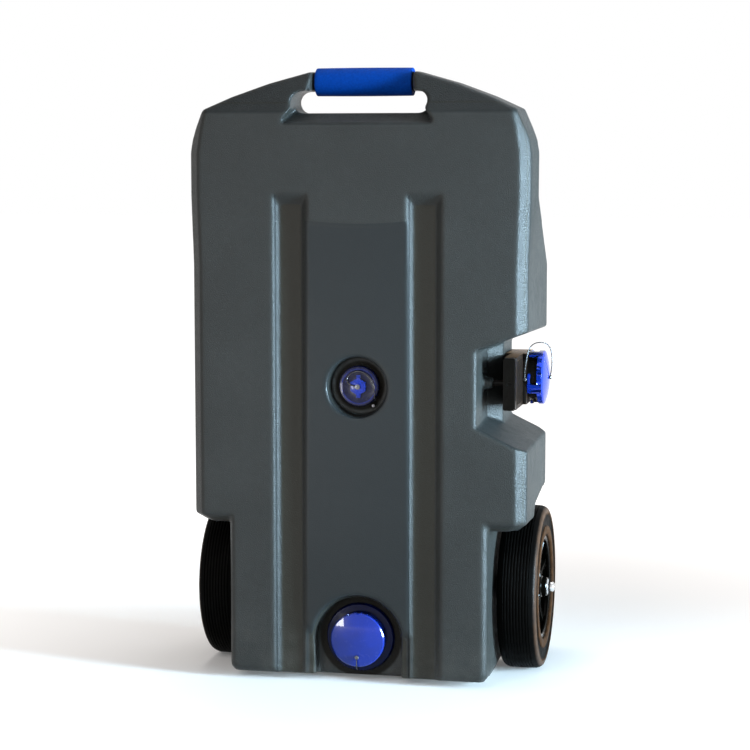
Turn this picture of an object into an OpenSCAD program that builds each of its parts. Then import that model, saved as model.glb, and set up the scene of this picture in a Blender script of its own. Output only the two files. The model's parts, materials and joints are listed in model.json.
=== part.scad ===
// Portable waste water tank: a two-wheeled, hollow moulded tank that stands
// on its lower end. Z is up, X runs along the axle, the capped face looks to -Y.
// Local depths are measured backwards from that face; place() moves them.

/* [Body] */
// Wall of the moulded tank
wall = 5; // [4:0.5:6]
// Half width of the body between shoulders and wheels
half_w = 328.5; // [320:1:336]
// Extra half width at the shoulders
shoulder_flare = 4; // [0:1:6]
// Extra half width at the back face, the draft of the mould
side_draft = 5; // [2:1:7]
// Half width of the narrow lower end, between the wheels
foot_half_w = 255; // [250:1:256]
// Depth of the body from the capped face to its back
body_d = 268; // [266:1:276]
// Depth of the thin head that carries the handle
head_d = 108; // [106:1:114]
// Height of the capped face's lower edge over the ground
toe_h = 15; // [10:1:20]
// Height of the roof beside the grip; the whole head follows it
roof_h = 1184; // [1150:1:1220]
// Drop from the roof to the crease where the capped face starts to lean back
crease_drop = 80; // [78:1:84]
// Drop from the roof to the shoulders
shoulder_drop = 73; // [70:1:76]
// Height of the underside of the full-width body, over the wheels
fender_h = 308; // [304:1:312]
// Width and depth of the bevel along the long edges
edge_bevel = 20; // [14:1:22]
// Bevel that is left of it along the roof
roof_bevel = 5; // [3:1:10]

/* [Ribs and recesses] */
// Distance of the two long grooves' inner edges from the middle
groove_in = 96; // [94:1:100]
// Distance of the grooves' outer edges from the middle
groove_out = 166; // [160:1:170]
// Depth of the grooves
groove_d = 14; // [10:1:16]
// Drop from the roof to the grooves' pointed tops
groove_drop = 231; // [224:1:244]
// Drop from the roof to the middle panel's top edge
panel_drop = 285; // [269:1:304]
// Depth of the middle panel at its top
panel_d = 2; // [1:0.5:4]
// Radius of the recess round the vent cap
vent_recess_r = 58; // [56:1:64]
// Depth of the recess round the vent cap
vent_recess_d = 40; // [38:1:44]
// Radius of the arched recess round the inlet
arch_r = 85; // [82:1:88]
// Depth of the arched recess
arch_d = 43; // [41:1:46]
// Width of the bevels at the recess rims
rim_bevel = 5; // [3:0.5:6]

/* [Handle] */
// Drop from the roof to the grip's axis
grip_drop = 20; // [20:1:26]
// Depth of the grip's axis
grip_back = 85; // [83:1:87]
// Radius of the moulded handle bar
bar_r = 18.5; // [16:0.5:18.5]
// Wall of the grip sleeve
grip_wall = 8.5; // [5:0.5:8.5]
// Length of the grip sleeve
grip_l = 190; // [180:1:196]
// Gap between each end of the grip and the body's cheeks
grip_gap = 4.5; // [3.5:0.5:6.5]
// Reach of the hand slot past each end of the bar
slot_over = 33.5; // [29:0.5:38]
// Radius of the hand slot's round ends
slot_end_r = 21; // [19:0.5:21]

/* [Valve notch] */
// Distance of the notch's inner wall from the middle
notch_in = 233; // [229:1:236]
// Distance of the valve seat's face from the middle
seat_x = 262; // [260:1:264]
// Room under the drain's axis, down to the notch's lower edge at its inner wall
notch_below = 79; // [77:1:83]
// Room over the drain's axis, up to the notch's upper edge at its inner wall
notch_above = 69; // [67:1:73]

/* [Drain valve] */
// Depth of the drain's axis
drain_back = 212; // [210:1:214]
// Height of the drain's axis
drain_h = 587; // [560:1:620]
// Radius of the drain's passage
drain_r = 36; // [34:0.5:36.5]
// Half width of the square valve flanges
flange_half = 50.5; // [50:0.5:52]
// Thickness of the flange that seats on the tank
tank_flange_t = 11; // [10:0.5:12]
// Thickness of each half of the gate housing
housing_half_t = 11.75; // [11:0.25:13]
// Length of the gate housing in front of the drain's axis
housing_reach = 140; // [139:1:143]
// Thickness of the sliding gate
gate_t = 3; // [2:0.5:4]
// Travel of the sliding gate
gate_travel = 77; // [76.5:0.5:78]
// Thickness of the pull handle
pull_t = 12; // [10:1:12]
// Thickness of the outer flange with the hose lugs
lug_flange_t = 7; // [6:0.5:8]

/* [Hose caps] */
// Outer radius of the two large caps
cap_r = 53; // [52:0.5:54]
// Wall of the caps
cap_wall = 3; // [2.5:0.5:3.5]
// Outer radius of the bayonet necks
neck_r = 43; // [42.5:0.5:43.5]
// Reach of the bayonet lugs over the neck
lug_reach = 5; // [4:0.5:5.5]
// Turn that frees a bayonet cap from its lugs, in degrees
cap_turn = 30; // [20:5:30]

/* [Inlet] */
// Height of the inlet's axis
inlet_h = 86; // [84:1:88]
// Radius of the inlet's collar
collar_r = 68; // [66:1:70]
// Thickness of the collar
collar_t = 7; // [6:0.5:8]

/* [Vent] */
// Height of the vent's axis
vent_h = 581; // [540:1:620]
// Radius of the vent cap
vent_cap_r = 39; // [38:0.5:40]
// Outer radius of the threaded vent neck
vent_neck_r = 33; // [31:0.5:33.5]

/* [Wheels] */
// Radius of the tyres
wheel_r = 163; // [160:1:165]
// Width of the tyres
tyre_w = 78; // [74:1:78]
// Distance of the tyres' outer faces from the middle
wheel_out = 340; // [340:1:342]
// Radius of the rim under the tyre
rim_r = 104; // [100:1:108]
// Number of spokes
spokes = 10; // [6:1:12]
// Depth of the axle behind the capped face
axle_back = 226; // [224:1:228]
// Radius of the steel axle
axle_r = 8; // [8:0.5:10]

/* [Fits] */
// Running clearance of a bush on its shaft
run_fit = 0.05; // [0.03:0.01:0.08]
// Gap between parts that slide past each other
slide_gap = 0.3; // [0.2:0.05:0.4]
// Play of a shaft or tube in a moulded hole
hole_play = 0.5; // [0.3:0.1:0.8]
// Thickness of the flat gaskets
gasket_t = 2; // [1.5:0.5:3]
// Radius of the tether wires
wire_r = 1.1; // [1:0.1:1.3]

/* [Hidden] */
$fn = 64;
eps = 0.01;
far = 400;

front_y = -(axle_back + wheel_r) / 2;
axle_h = wheel_r;
crease_h = roof_h - crease_drop;
shoulder_h = roof_h - shoulder_drop;
grip_h = roof_h - grip_drop;
bar_l = grip_l + 2 * grip_gap;
slot_half = bar_l / 2 + slot_over;
groove_top = roof_h - groove_drop;
panel_top = roof_h - panel_drop;
grip_r = bar_r + slide_gap + grip_wall;
body_color = [0.27, 0.29, 0.29];
cap_color = [0.15, 0.27, 0.62];
grip_color = [0.0, 0.24, 0.62];
black = [0.09, 0.09, 0.10];
rubber = [0.05, 0.05, 0.05];
steel = [0.75, 0.76, 0.78];

// Outline helpers: an outline is moved inwards by d, and a ring stack is skinned
function unit(v) = v / norm(v);
function left_of(a, b) = let (u = unit(b - a)) [-u[1], u[0]];
function inset(p, d) = [
    for (i = [0 : len(p) - 1])
        let (
            n = len(p),
            m = left_of(p[(i + n - 1) % n], p[i]),
            k = left_of(p[i], p[(i + 1) % n])
        )
        p[i] + d * (m + k) / (1 + m * k)
];
function arc(r, a0, a1, steps, c = [0, 0]) =
    [for (i = [0 : steps]) let (a = a0 + (a1 - a0) * i / steps) c + r * [cos(a), sin(a)]];

module skin(rings) {
    n = len(rings[0]);
    m = len(rings);
    polyhedron(
        points = [for (ring = rings) each ring],
        faces = concat(
            [[for (i = [0 : n - 1]) i]],
            [[for (i = [n - 1 : -1 : 0]) (m - 1) * n + i]],
            [
                for (k = [0 : m - 2], i = [0 : n - 1])
                    let (a = k * n + i, b = k * n + (i + 1) % n)
                    each [[a, b + n, b], [a, a + n, b + n]]
            ]
        )
    );
}

// Tube along a route of points, in one piece
module tube(route, r, sides = 8) {
    last = len(route) - 1;
    tangents = [
        for (i = [0 : last])
            unit(route[min(i + 1, last)] - route[max(i - 1, 0)])
    ];
    side = unit(cross(tangents[0], [0.31, 0.17, 0.93]));
    frames = [
        for (i = 0, s = side; i <= last; i = i + 1,
             s = i <= last ? unit(s - (s * tangents[i]) * tangents[i]) : s)
            s
    ];
    skin([
        for (i = [0 : last])
            let (u = frames[i], v = cross(tangents[i], u))
            [for (k = [0 : sides - 1]) route[i] + r * (cos(360 * k / sides) * u + sin(360 * k / sides) * v)]
    ]);
}

// A rounded path through hand-set points
function bend(p, steps = 4) = concat(
    [p[0]],
    [
        for (i = [0 : len(p) - 2], t = [1 : steps])
            let (
                a = p[max(i - 1, 0)], b = p[i], c = p[i + 1], d = p[min(i + 2, len(p) - 1)],
                s = t / steps
            )
            0.5 * (2 * b + (c - a) * s + (2 * a - 5 * b + 4 * c - d) * s * s
                   + (3 * b - a - 3 * c + d) * s * s * s)
    ]
);

module place() { translate([0, front_y, 0]) children(); }
module along_x(x = 0, y = 0, z = 0) { translate([x, y, z]) rotate([0, 90, 0]) children(); }
module along_y(x = 0, y = 0, z = 0) { translate([x, y, z]) rotate([-90, 0, 0]) children(); }
module both_sides() { children(); mirror([1, 0, 0]) children(); }
// Extrudes an outline drawn in depth and height along the axle
module across(half) {
    rotate([90, 0, 90]) linear_extrude(2 * half, center = true) children();
}
// Extrudes an outline drawn in width and height backwards from depth a to b
module backwards(a, b) {
    translate([0, b, 0]) rotate([90, 0, 0]) linear_extrude(b - a) children();
}
module ring(r_out, r_in, h) {
    difference() {
        cylinder(r = r_out, h = h);
        translate([0, 0, -1]) cylinder(r = r_in, h = h + 2);
    }
}
module rounded_square(half, r) {
    intersection() {
        square(2 * half, center = true);
        union() {
            square([2 * half, 2 * (half - r)], center = true);
            square([2 * (half - r), 2 * half], center = true);
            for (x = [-1, 1], y = [-1, 1])
                translate([x, y] * (half - r)) circle(r, $fn = 32);
        }
    }
}

// Body: half widths and depths at each height
head_back_h = roof_h - 239;
slope_end_h = head_back_h - 133;
lean_d = 57;
upper_edge = [
    [fender_h, half_w - edge_bevel], [fender_h + 16, half_w],
    [slope_end_h, half_w], [head_back_h, half_w + shoulder_flare],
    [shoulder_h - 82, half_w + shoulder_flare],
    [shoulder_h - 58, half_w + shoulder_flare - 4],
    [shoulder_h - 36, half_w + shoulder_flare - 12],
    [shoulder_h, half_w - 24],
    [shoulder_h + 24, 252], [shoulder_h + 50, 182],
    [roof_h, bar_l / 2 + 1.5]
];
front_line = [
    [fender_h, edge_bevel], [fender_h + edge_bevel - 2, 0], [crease_h, 0], [roof_h, lean_d],
    [roof_h + 20, lean_d + 14]
];
back_line = [
    [0, body_d], [slope_end_h, body_d], [head_back_h, head_d], [roof_h + 20, head_d + 5]
];
// The bevel of the front edges runs out over the shoulders
front_bevel = [[shoulder_h - 58, edge_bevel], [shoulder_h + 8, roof_bevel]];
back_bevel = 14;

function section(w, f, b, z, bevel, draft) = let (b_side = b - back_bevel) [
    [-(w - bevel), f, z], [w - bevel, f, z],
    [w, f + bevel + 1, z], [w + draft, b_side, z],
    [w + draft - back_bevel, b, z], [-(w + draft - back_bevel), b, z],
    [-(w + draft), b_side, z], [-w, f + bevel + 1, z]
];
// The closed front-view outline, moved inwards, gives the heights and half widths
function edge_loop(i) = inset(
    concat([for (e = upper_edge) [e[1], e[0]]],
           [for (k = [len(upper_edge) - 1 : -1 : 0]) [-upper_edge[k][1], upper_edge[k][0]]]),
    i
);
module upper_form(i) {
    loop = edge_loop(i);
    heights = [for (k = [0 : len(upper_edge) - 1]) loop[k]];
    extra = [for (z = [fender_h + edge_bevel, crease_h]) [half_w_at(z) - i, z]];
    all_rows = [
        heights[0], heights[1], extra[0], heights[2], heights[3], heights[4], heights[5],
        heights[6], each_lower(extra[1], heights[7]), each_upper(extra[1], heights[7]),
        heights[8], heights[9], heights[10]
    ];
    skin([
        for (row = all_rows)
            section(row[0], lookup(row[1], front_line) + i, lookup(row[1], back_line) - i,
                    row[1], lookup(row[1], front_bevel), side_draft)
    ]);
}
function half_w_at(z) = lookup(z, upper_edge);
function each_lower(a, b) = a[1] < b[1] ? a : b;
function each_upper(a, b) = a[1] < b[1] ? b : a;

foot_rows = [
    [0, foot_half_w - 12, 110, 205], [toe_h, foot_half_w - 6, 6, 236],
    [toe_h + 10, foot_half_w, 0, 252], [40, foot_half_w, 0, body_d],
    [fender_h + edge_bevel - 2, foot_half_w, 0, body_d],
    [fender_h + 60, foot_half_w - 15, 15, body_d - 15]
];
foot_bevel = 8;
module foot_form(i) {
    skin([
        for (k = [0 : len(foot_rows) - 1])
            let (row = foot_rows[k], lift = k == 0 ? i : (k == 1 ? i * 0.8 : 0))
            section(row[1] - i, row[2] + i, row[3] - i, row[0] + lift, foot_bevel, 0)
    ]);
}

// Spaces cut out of the body; g grows them, so that the tank's inside follows them
module hand_slot(g) {
    half = slot_half - slot_end_r;
    slot_z = crease_h + slot_end_r;
    both_sides() along_y(half, -20, slot_z) cylinder(r = slot_end_r + g, h = 200);
    translate([-half, -20, crease_h - g]) cube([2 * half, 200, 2 * (slot_end_r + g)]);
    translate([-(bar_l / 2 + g), -20, crease_h + 5 - g]) cube([bar_l + 2 * g, 200, 200]);
}
scoop_low = crease_h - 20;
scoop_waist = grip_h - 14;
scoop_top = roof_h + 56;
module scoop(g) {
    intersection() {
        backwards(-30, 80) polygon(inset([
            [-slot_half - 17, scoop_low], [slot_half + 17, scoop_low],
            [bar_l / 2 + 4.5, scoop_waist], [bar_l / 2 - 7.5, scoop_top],
            [-bar_l / 2 + 7.5, scoop_top], [-bar_l / 2 - 4.5, scoop_waist]
        ], -g));
        across(far) polygon(inset([
            [-40, scoop_low - 20], [0, scoop_low], [42, crease_h], [60, scoop_top], [-40, scoop_top]
        ], -g));
    }
}
groove_ramp = 24;
module grooves(g) {
    both_sides() intersection() {
        translate([0, 0, -20]) linear_extrude(groove_top + 60) polygon(inset([
            [groove_in - 10, -10], [groove_out + 10, -10],
            [groove_out - groove_d, groove_d], [groove_in + groove_d, groove_d]
        ], -g));
        across(far) polygon(inset([
            [-30, -40], [groove_d, -40], [groove_d, groove_top - groove_ramp],
            [0, groove_top], [-30, groove_top + 24]
        ], -g));
    }
}
panel_arc_r = 900;
module middle_panel(g) {
    half = groove_in + groove_d / 2;
    intersection() {
        backwards(-10, 60) difference() {
            translate([-half - g, -40]) square([2 * (half + g), panel_top + 44 + g]);
            translate([0, panel_top + panel_arc_r - 5 + g]) circle(panel_arc_r, $fn = 240);
        }
        across(far) polygon(inset([
            [-10, -60], [groove_d - 1, -60], [groove_d - 1, 92], [panel_d + 4, 112],
            [panel_d, panel_top + 20], [-10, panel_top + 20]
        ], -g));
    }
}
module arch_recess(g) {
    arch_z = inlet_h - 2;
    side = arch_r + g;
    along_y(0, -10, arch_z) cylinder(r = side, h = arch_d + 10 + g, $fn = 96);
    translate([-side, -10, -30]) cube([2 * side, arch_d + 10 + g, 30 + arch_z]);
    along_y(0, groove_d - 1, arch_z) cylinder(r1 = side + rim_bevel, r2 = side, h = rim_bevel, $fn = 96);
    along_y(0, -1, arch_z) cylinder(r = side + rim_bevel, h = groove_d + eps, $fn = 96);
}
module vent_recess(g) {
    along_y(0, -10, vent_h) cylinder(r = vent_recess_r + g, h = vent_recess_d + 10 + g, $fn = 96);
    bevel_l = rim_bevel + panel_d + 2 + g;
    along_y(0, -1, vent_h)
        cylinder(r1 = vent_recess_r + rim_bevel + g + 1, r2 = vent_recess_r + g - 1, h = bevel_l);
}
notch_step = [127, 151];
low_slope = 0.474;
high_slope = 0.368;
low_draft = 13 / 255;
high_draft = 8 / 255;
notch_low = drain_h - notch_below;
notch_high = drain_h + notch_above;
function notch_ring(x, y, g) = let (
    low = function (u) notch_low - (u - notch_in) * low_slope + y * low_draft - g,
    high = function (u) notch_high + (u - notch_in) * high_slope - y * high_draft + g
) [[x, y, low(x)], [far, y, low(far)], [far, y, high(far)], [x, y, high(x)]];
// Width and depth of the notch's inner wall, from its chamfered front edge backwards
notch_bevel = 5;
module notch(g) {
    b = notch_bevel + g * tan(22.5);
    wall_line = [
        [notch_in - b - 20, -20], [notch_in, b], [notch_in, notch_step[0]], [seat_x, notch_step[1]],
        [seat_x, 300]
    ];
    mirror([0, 1, 0]) skin([
        for (row = wall_line) [for (p = notch_ring(row[0] - g, row[1], g)) [p[0], -p[1], p[2]]]
    ]);
}
// Depth and height of the wheel wells' roof, over the fender's edge
well_roof = [[400, 90], [240, 59], [128, 38], [96, -4]];
module wheel_wells(g) {
    both_sides() translate([foot_half_w + 100 - g, 0, 0]) across(100) polygon(inset(concat(
        [[well_roof[3][0], axle_h], [well_roof[0][0], axle_h]],
        [for (p = well_roof) [p[0], fender_h + p[1]]]
    ), -g));
}
module axle_tunnel(g) {
    along_x(-far, axle_back, axle_h) cylinder(r = axle_r + hole_play + g, h = 2 * far);
}
module cut_spaces(g) {
    hand_slot(g);
    scoop(g);
    grooves(g);
    middle_panel(g);
    arch_recess(g);
    vent_recess(g);
    notch(g);
    wheel_wells(g);
    axle_tunnel(g);
}

stay_back = 85;
stay_boss_l = 20;
stay_r = 5.5;
stay_hole_r = 3;
module tank_shell() {
    color(body_color) place() difference() {
        union() {
            difference() {
                union() {
                    upper_form(0);
                    foot_form(0);
                }
                cut_spaces(0);
            }
            along_x(-(bar_l / 2 + wall - 1), grip_back, grip_h)
                cylinder(r = bar_r, h = bar_l + 2 * (wall - 1));
            along_x(notch_in - wall + 1, stay_back, drain_h)
                cylinder(r1 = 15, r2 = 10, h = stay_boss_l + wall - 1);
            along_y(0, vent_recess_d - vent_neck_l, vent_h)
                cylinder(r = vent_neck_r, h = vent_neck_l + wall - 1);
            along_y(vent_anchor[0], vent_recess_d - anchor_boss_h, vent_h + vent_anchor[1])
                cylinder(r = 6, h = anchor_boss_h + wall - 1, $fn = 48);
        }
        difference() {
            union() {
                upper_form(wall);
                foot_form(wall);
            }
            cut_spaces(wall);
        }
        along_y(0, 0, vent_h) cylinder(r = vent_bore_r, h = vent_recess_d + wall + 10);
        along_y(0, arch_d - 10, inlet_h) cylinder(r = tube_r + hole_play, h = wall + 20);
        along_x(seat_x - wall - 10, drain_back, drain_h) cylinder(r = tube_r + hole_play, h = wall + 20);
        along_x(notch_in + 4, stay_back, drain_h) cylinder(r = stay_hole_r, h = 40, $fn = 32);
        along_y(vent_anchor[0], vent_recess_d - anchor_boss_h - 1, vent_h + vent_anchor[1])
            cylinder(r = pin_shank_r, h = pin_sunk + 1, $fn = 32);
    }
}

// The grip is a sleeve pushed over the bar, split along its back
module handle_grip() {
    split = 2;
    color(grip_color) place() difference() {
        along_x(-grip_l / 2, grip_back, grip_h) difference() {
            union() {
                translate([0, 0, 2]) cylinder(r = grip_r, h = grip_l - 4);
                cylinder(r1 = grip_r - 2, r2 = grip_r, h = 2 + eps);
                translate([0, 0, grip_l - 2 - eps]) cylinder(r1 = grip_r, r2 = grip_r - 2, h = 2 + eps);
            }
            translate([0, 0, -1]) cylinder(r = bar_r + hole_play / 10, h = grip_l + 2);
        }
        translate([-grip_l, grip_back, grip_h - split / 2]) cube([2 * grip_l, 60, split]);
    }
}

// Bayonet fittings: a post with lugs, and a cap whose arms hook behind them.
// Both are drawn along +Z, with the cap's face at the top.
tube_r = drain_r + 5;
drain_neck_l = 26;
inlet_neck_l = 20;
lug_count = 4;
lug_arc = 20;
lug_t = 5;
lug_from = 8;
skirt_r_in = cap_r - cap_wall;
module sector(r, a0, a1) {
    polygon(concat([[0, 0]], arc(r, a0, a1, 6)));
}
module ring_sector(r_out, r_in, a0, a1, h) {
    intersection() {
        ring(r_out, r_in, h);
        translate([0, 0, -1]) linear_extrude(h + 2) sector(2 * r_out, a0, a1);
    }
}
module bayonet_post(len) {
    translate([0, 0, -eps]) cylinder(r = neck_r, h = len + eps);
    for (k = [0 : lug_count - 1])
        translate([0, 0, lug_from]) rotate([0, 0, k * 360 / lug_count])
            ring_sector(neck_r + lug_reach, neck_r - 1, -lug_arc / 2, lug_arc / 2, lug_t);
}
// The rim closes the neck; arms reach down from it, each with a hook behind a lug
rim_l = 11;
arm_arc = 20;
arm_low = 2;
hook_low = arm_low + 0.8;
function cap_top(len) = len + gasket_t + slide_gap + cap_wall;
function dome_r(h) = ((cap_r - 2) * (cap_r - 2) + h * h) / (2 * h);
function dome_top(h, off) = h - dome_r(h) + sqrt(dome_r(h) * dome_r(h) - off * off);
module cap_body(len, dome_h) {
    top = cap_top(len);
    rim_low = top - rim_l;
    hook_arc = cap_turn - 6;
    difference() {
        union() {
            translate([0, 0, rim_low]) cylinder(r = cap_r, h = rim_l - 2);
            translate([0, 0, top - 2]) cylinder(r1 = cap_r, r2 = cap_r - 2, h = 2);
            translate([0, 0, top]) rotate_extrude($fn = 96) polygon(concat(
                [[0, -1], [cap_r - 2, -1]],
                arc(dome_r(dome_h), asin((dome_r(dome_h) - dome_h) / dome_r(dome_h)), 90, 10,
                    [0, dome_h - dome_r(dome_h)])
            ));
        }
        translate([0, 0, rim_low - 1]) cylinder(r = skirt_r_in, h = rim_l - cap_wall + 1);
    }
    for (k = [0 : lug_count - 1]) rotate([0, 0, k * 360 / lug_count + lug_arc / 2 + 2]) {
        translate([0, 0, arm_low])
            ring_sector(cap_r, skirt_r_in - 1, 0, arm_arc, rim_low - arm_low + 1);
        rotate([0, 0, -hook_arc]) translate([0, 0, hook_low])
            ring_sector(cap_r, neck_r + 3, 0, hook_arc + 1, lug_from - hook_low - slide_gap);
    }
}
module cap_seal(len) {
    translate([0, 0, len + slide_gap / 2]) ring(neck_r, drain_r + 1, gasket_t);
}
// A rivet that holds a tether's eye over a cap
pin_shank_r = 1.5;
pin_gap = 2 * wire_r + 1;
pin_sunk = 3;
pin_head_t = 1.5;
eye_r = pin_shank_r + slide_gap + wire_r;
pin_play = 0.03;
module pin_hole() {
    translate([0, 0, -pin_sunk]) cylinder(r = pin_shank_r + pin_play, h = pin_sunk + 10, $fn = 32);
}
module cap_pin() {
    translate([0, 0, -pin_sunk]) cylinder(r = pin_shank_r, h = pin_sunk + pin_gap + 0.5, $fn = 32);
    translate([0, 0, pin_gap]) cylinder(r1 = eye_r + 1.2, r2 = eye_r, h = pin_head_t, $fn = 32);
}
module wire_loop(r) { rotate_extrude() translate([r, 0]) circle(wire_r, $fn = 16); }

// Inlet: a bulkhead fitting in the arched recess, its axis along -Y
inlet_face = arch_d - gasket_t - collar_t;
inlet_dome = 5;
inlet_lug_turn = 35;
inlet_pin_off = 33;
inlet_pin_z = cap_top(inlet_neck_l) + dome_top(inlet_dome, inlet_pin_off) + 0.1;
module at_inlet(depth) {
    place() translate([0, depth, inlet_h]) rotate([90, 0, 0]) children();
}
module inlet_neck() {
    color(black) at_inlet(arch_d - gasket_t) difference() {
        union() {
            cylinder(r1 = collar_r, r2 = collar_r - 3, h = collar_t);
            translate([0, 0, -(gasket_t + wall + 14)]) cylinder(r = tube_r, h = gasket_t + wall + 15);
            translate([0, 0, collar_t]) rotate([0, 0, inlet_lug_turn]) bayonet_post(inlet_neck_l);
        }
        translate([0, 0, -40]) cylinder(r = drain_r, h = 80);
    }
}
module inlet_gasket() {
    color(rubber) at_inlet(arch_d) ring(collar_r - 4, tube_r + slide_gap, gasket_t);
}
locknut_t = 8;
module locknut() {
    difference() {
        union() {
            cylinder(r = tube_r + 9, h = locknut_t);
            for (k = [0 : 5])
                rotate([0, 0, 60 * k]) translate([tube_r + 7, -5, 0]) cube([6, 10, locknut_t]);
        }
        translate([0, 0, -1]) cylinder(r = tube_r + run_fit, h = locknut_t + 2);
    }
}
module inlet_locknut() {
    color(black) at_inlet(arch_d + wall + locknut_t) locknut();
}
module inlet_cap() {
    color(cap_color) at_inlet(inlet_face) difference() {
        rotate([0, 0, inlet_lug_turn]) cap_body(inlet_neck_l, inlet_dome);
        translate([0, -inlet_pin_off, inlet_pin_z]) pin_hole();
    }
}
module inlet_cap_seal() {
    color(rubber) at_inlet(inlet_face) cap_seal(inlet_neck_l);
}
module inlet_cap_pin() {
    color(steel) at_inlet(inlet_face) translate([0, -inlet_pin_off, inlet_pin_z]) cap_pin();
}
// The inlet's tether turns with its cap: its large loop lies round the neck behind the lugs
inlet_loop_r = neck_r + slide_gap + wire_r;
inlet_loop_z = 1.8;
inlet_route = [
    [0, -42, 30.4], [0, -50, 30.8], [0, -56, 27], [0, -58, 20], [0, -57, 11], [0, -53, 4]
];
module inlet_tether() {
    color(steel) at_inlet(inlet_face) {
        translate([0, -inlet_pin_off, inlet_pin_z + pin_gap / 2]) wire_loop(eye_r);
        translate([0, 0, inlet_loop_z]) wire_loop(inlet_loop_r);
        tube(bend(concat(
            [[0, -inlet_pin_off - eye_r, inlet_pin_z + pin_gap / 2]],
            inlet_route,
            [[0, -inlet_loop_r, inlet_loop_z]]
        )), wire_r);
    }
}

// Vent: a quarter-turn cap on a moulded neck, in the round recess
vent_neck_l = 10;
vent_bore_r = vent_neck_r - 5;
vent_cap_top = vent_neck_l + gasket_t + slide_gap + cap_wall;
knob_r = 17;
knob_l = 8;
knob_tab_l = 5;
vent_screw_r = 2;
vent_screw_gap = pin_gap;
module at_vent() { place() translate([0, vent_recess_d, vent_h]) rotate([90, 0, 0]) children(); }
module vent_cap() {
    color(cap_color) at_vent() difference() {
        union() {
            translate([0, 0, 1]) cylinder(r = vent_cap_r, h = vent_cap_top - 2.5);
            translate([0, 0, vent_cap_top - 1.5 - eps])
                cylinder(r1 = vent_cap_r, r2 = vent_cap_r - 1.5, h = 1.5 + eps);
            difference() {
                translate([0, 0, vent_cap_top - 1]) cylinder(r = vent_cap_r - 4, h = 2.5);
                translate([0, 0, vent_cap_top]) cylinder(r = vent_cap_r - 7, h = 3);
            }
            translate([0, 0, vent_cap_top - 1]) rotate([0, 0, 30])
                cylinder(r = knob_r, h = knob_l + 1, $fn = 6);
            for (k = [0, 1]) rotate([0, 0, 180 * k])
                translate([-4, 0, vent_cap_top - 1]) cube([8, 22, knob_tab_l + 1]);
        }
        cylinder(r = vent_neck_r + slide_gap, h = vent_cap_top - cap_wall);
        translate([0, 0, vent_cap_top + knob_l - 6])
            cylinder(r = vent_screw_r + pin_play, h = 8, $fn = 32);
    }
}
module vent_cap_seal() {
    color(rubber) at_vent() translate([0, 0, vent_neck_l + slide_gap / 2])
        ring(vent_neck_r, vent_bore_r + 1, gasket_t);
}
module vent_cap_screw() {
    color(steel) at_vent() translate([0, 0, vent_cap_top + knob_l]) {
        difference() {
            union() {
                translate([0, 0, -6]) cylinder(r = vent_screw_r, h = 6.5 + vent_screw_gap, $fn = 32);
                translate([0, 0, vent_screw_gap]) cylinder(r = 5, h = 2.4);
            }
            translate([-0.6, -6, vent_screw_gap + 1.4]) cube([1.2, 12, 2]);
        }
    }
}
vent_anchor = [27, -38];
anchor_boss_h = 4;
vent_eye_z = vent_cap_top + knob_l + vent_screw_gap / 2;
vent_eye_r = vent_screw_r + slide_gap + wire_r;
vent_anchor_z = anchor_boss_h + pin_gap / 2;
vent_route = [
    [-9, 2.5, 26.5], [-17.5, 5.5, 26.5], [-22, 14, 22.5], [-14.5, 24.5, 20],
    [1, 29.5, 20], [17.5, 22, 20.5], [27, 7, 20.5], [31, -8, 19.5], [32, -21, 17.5],
    [32.5, -31, 12], [32, -36, 7]
];
module vent_tether() {
    color(steel) at_vent() {
        translate([0, 0, vent_eye_z]) wire_loop(vent_eye_r);
        translate([vent_anchor[0], vent_anchor[1], vent_anchor_z]) wire_loop(eye_r);
        tube(bend(concat(
            [[-vent_eye_r, 0.4, vent_eye_z]],
            vent_route,
            [[vent_anchor[0] + eye_r, vent_anchor[1] + 0.3, vent_anchor_z]]
        ), 3), wire_r);
    }
}
module vent_anchor_screw() {
    color(steel) at_vent() translate([vent_anchor[0], vent_anchor[1], anchor_boss_h])
        cap_pin();
}

// Drain: flange, gate housing and hose neck bolted in one stack on the notch's seat
flange_x = seat_x + gasket_t;
housing_x = flange_x + tank_flange_t;
split_x = housing_x + housing_half_t;
lug_flange_x = split_x + housing_half_t;
neck_x = lug_flange_x + lug_flange_t;
bolt_z = 45.3;
bolt_y = 33;
bolt_r = 2.5;
bolt_head_r = 4.5;
bolt_head_t = 4;
drain_dome = 8;
chamber_half = 39.4;
gate_half = chamber_half - slide_gap;
rod_r = 4;
gate_end = 50;
tongue_l = 10;
gland_t = 4;
gland_r = 7;
end_wall = housing_reach - gate_end - gate_travel;
gland_from = housing_reach - end_wall / 2 - gland_t / 2;
front_bolt_y = housing_reach - 7;
pull_gap = slide_gap;
module at_drain(x) { place() translate([x, drain_back, drain_h]) rotate([0, 90, 0]) children(); }
function clamp_spots() = [for (y = [-bolt_y, bolt_y], z = [-bolt_z, bolt_z]) [z, y]];
function front_spots() = [for (z = [-bolt_z, bolt_z]) [z, -front_bolt_y]];
module drill(spots, r, h) {
    for (p = spots) translate([p[0], p[1], 0]) cylinder(r = r, h = h, $fn = 32);
}
module drain_gasket() {
    color(rubber) at_drain(seat_x) difference() {
        linear_extrude(gasket_t) rounded_square(flange_half - 1, 8);
        translate([0, 0, -1]) cylinder(r = tube_r + slide_gap, h = gasket_t + 2);
    }
}
module drain_flange() {
    color(black) at_drain(flange_x) difference() {
        union() {
            linear_extrude(tank_flange_t) rounded_square(flange_half, 8);
            translate([0, 0, -(gasket_t + wall + 14)]) cylinder(r = tube_r, h = gasket_t + wall + 15);
        }
        translate([0, 0, -40]) cylinder(r = drain_r, h = 70);
        translate([0, 0, 2]) drill(clamp_spots(), bolt_r, tank_flange_t);
    }
}
module drain_locknut() {
    color(black) at_drain(seat_x - wall - locknut_t) locknut();
}
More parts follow.
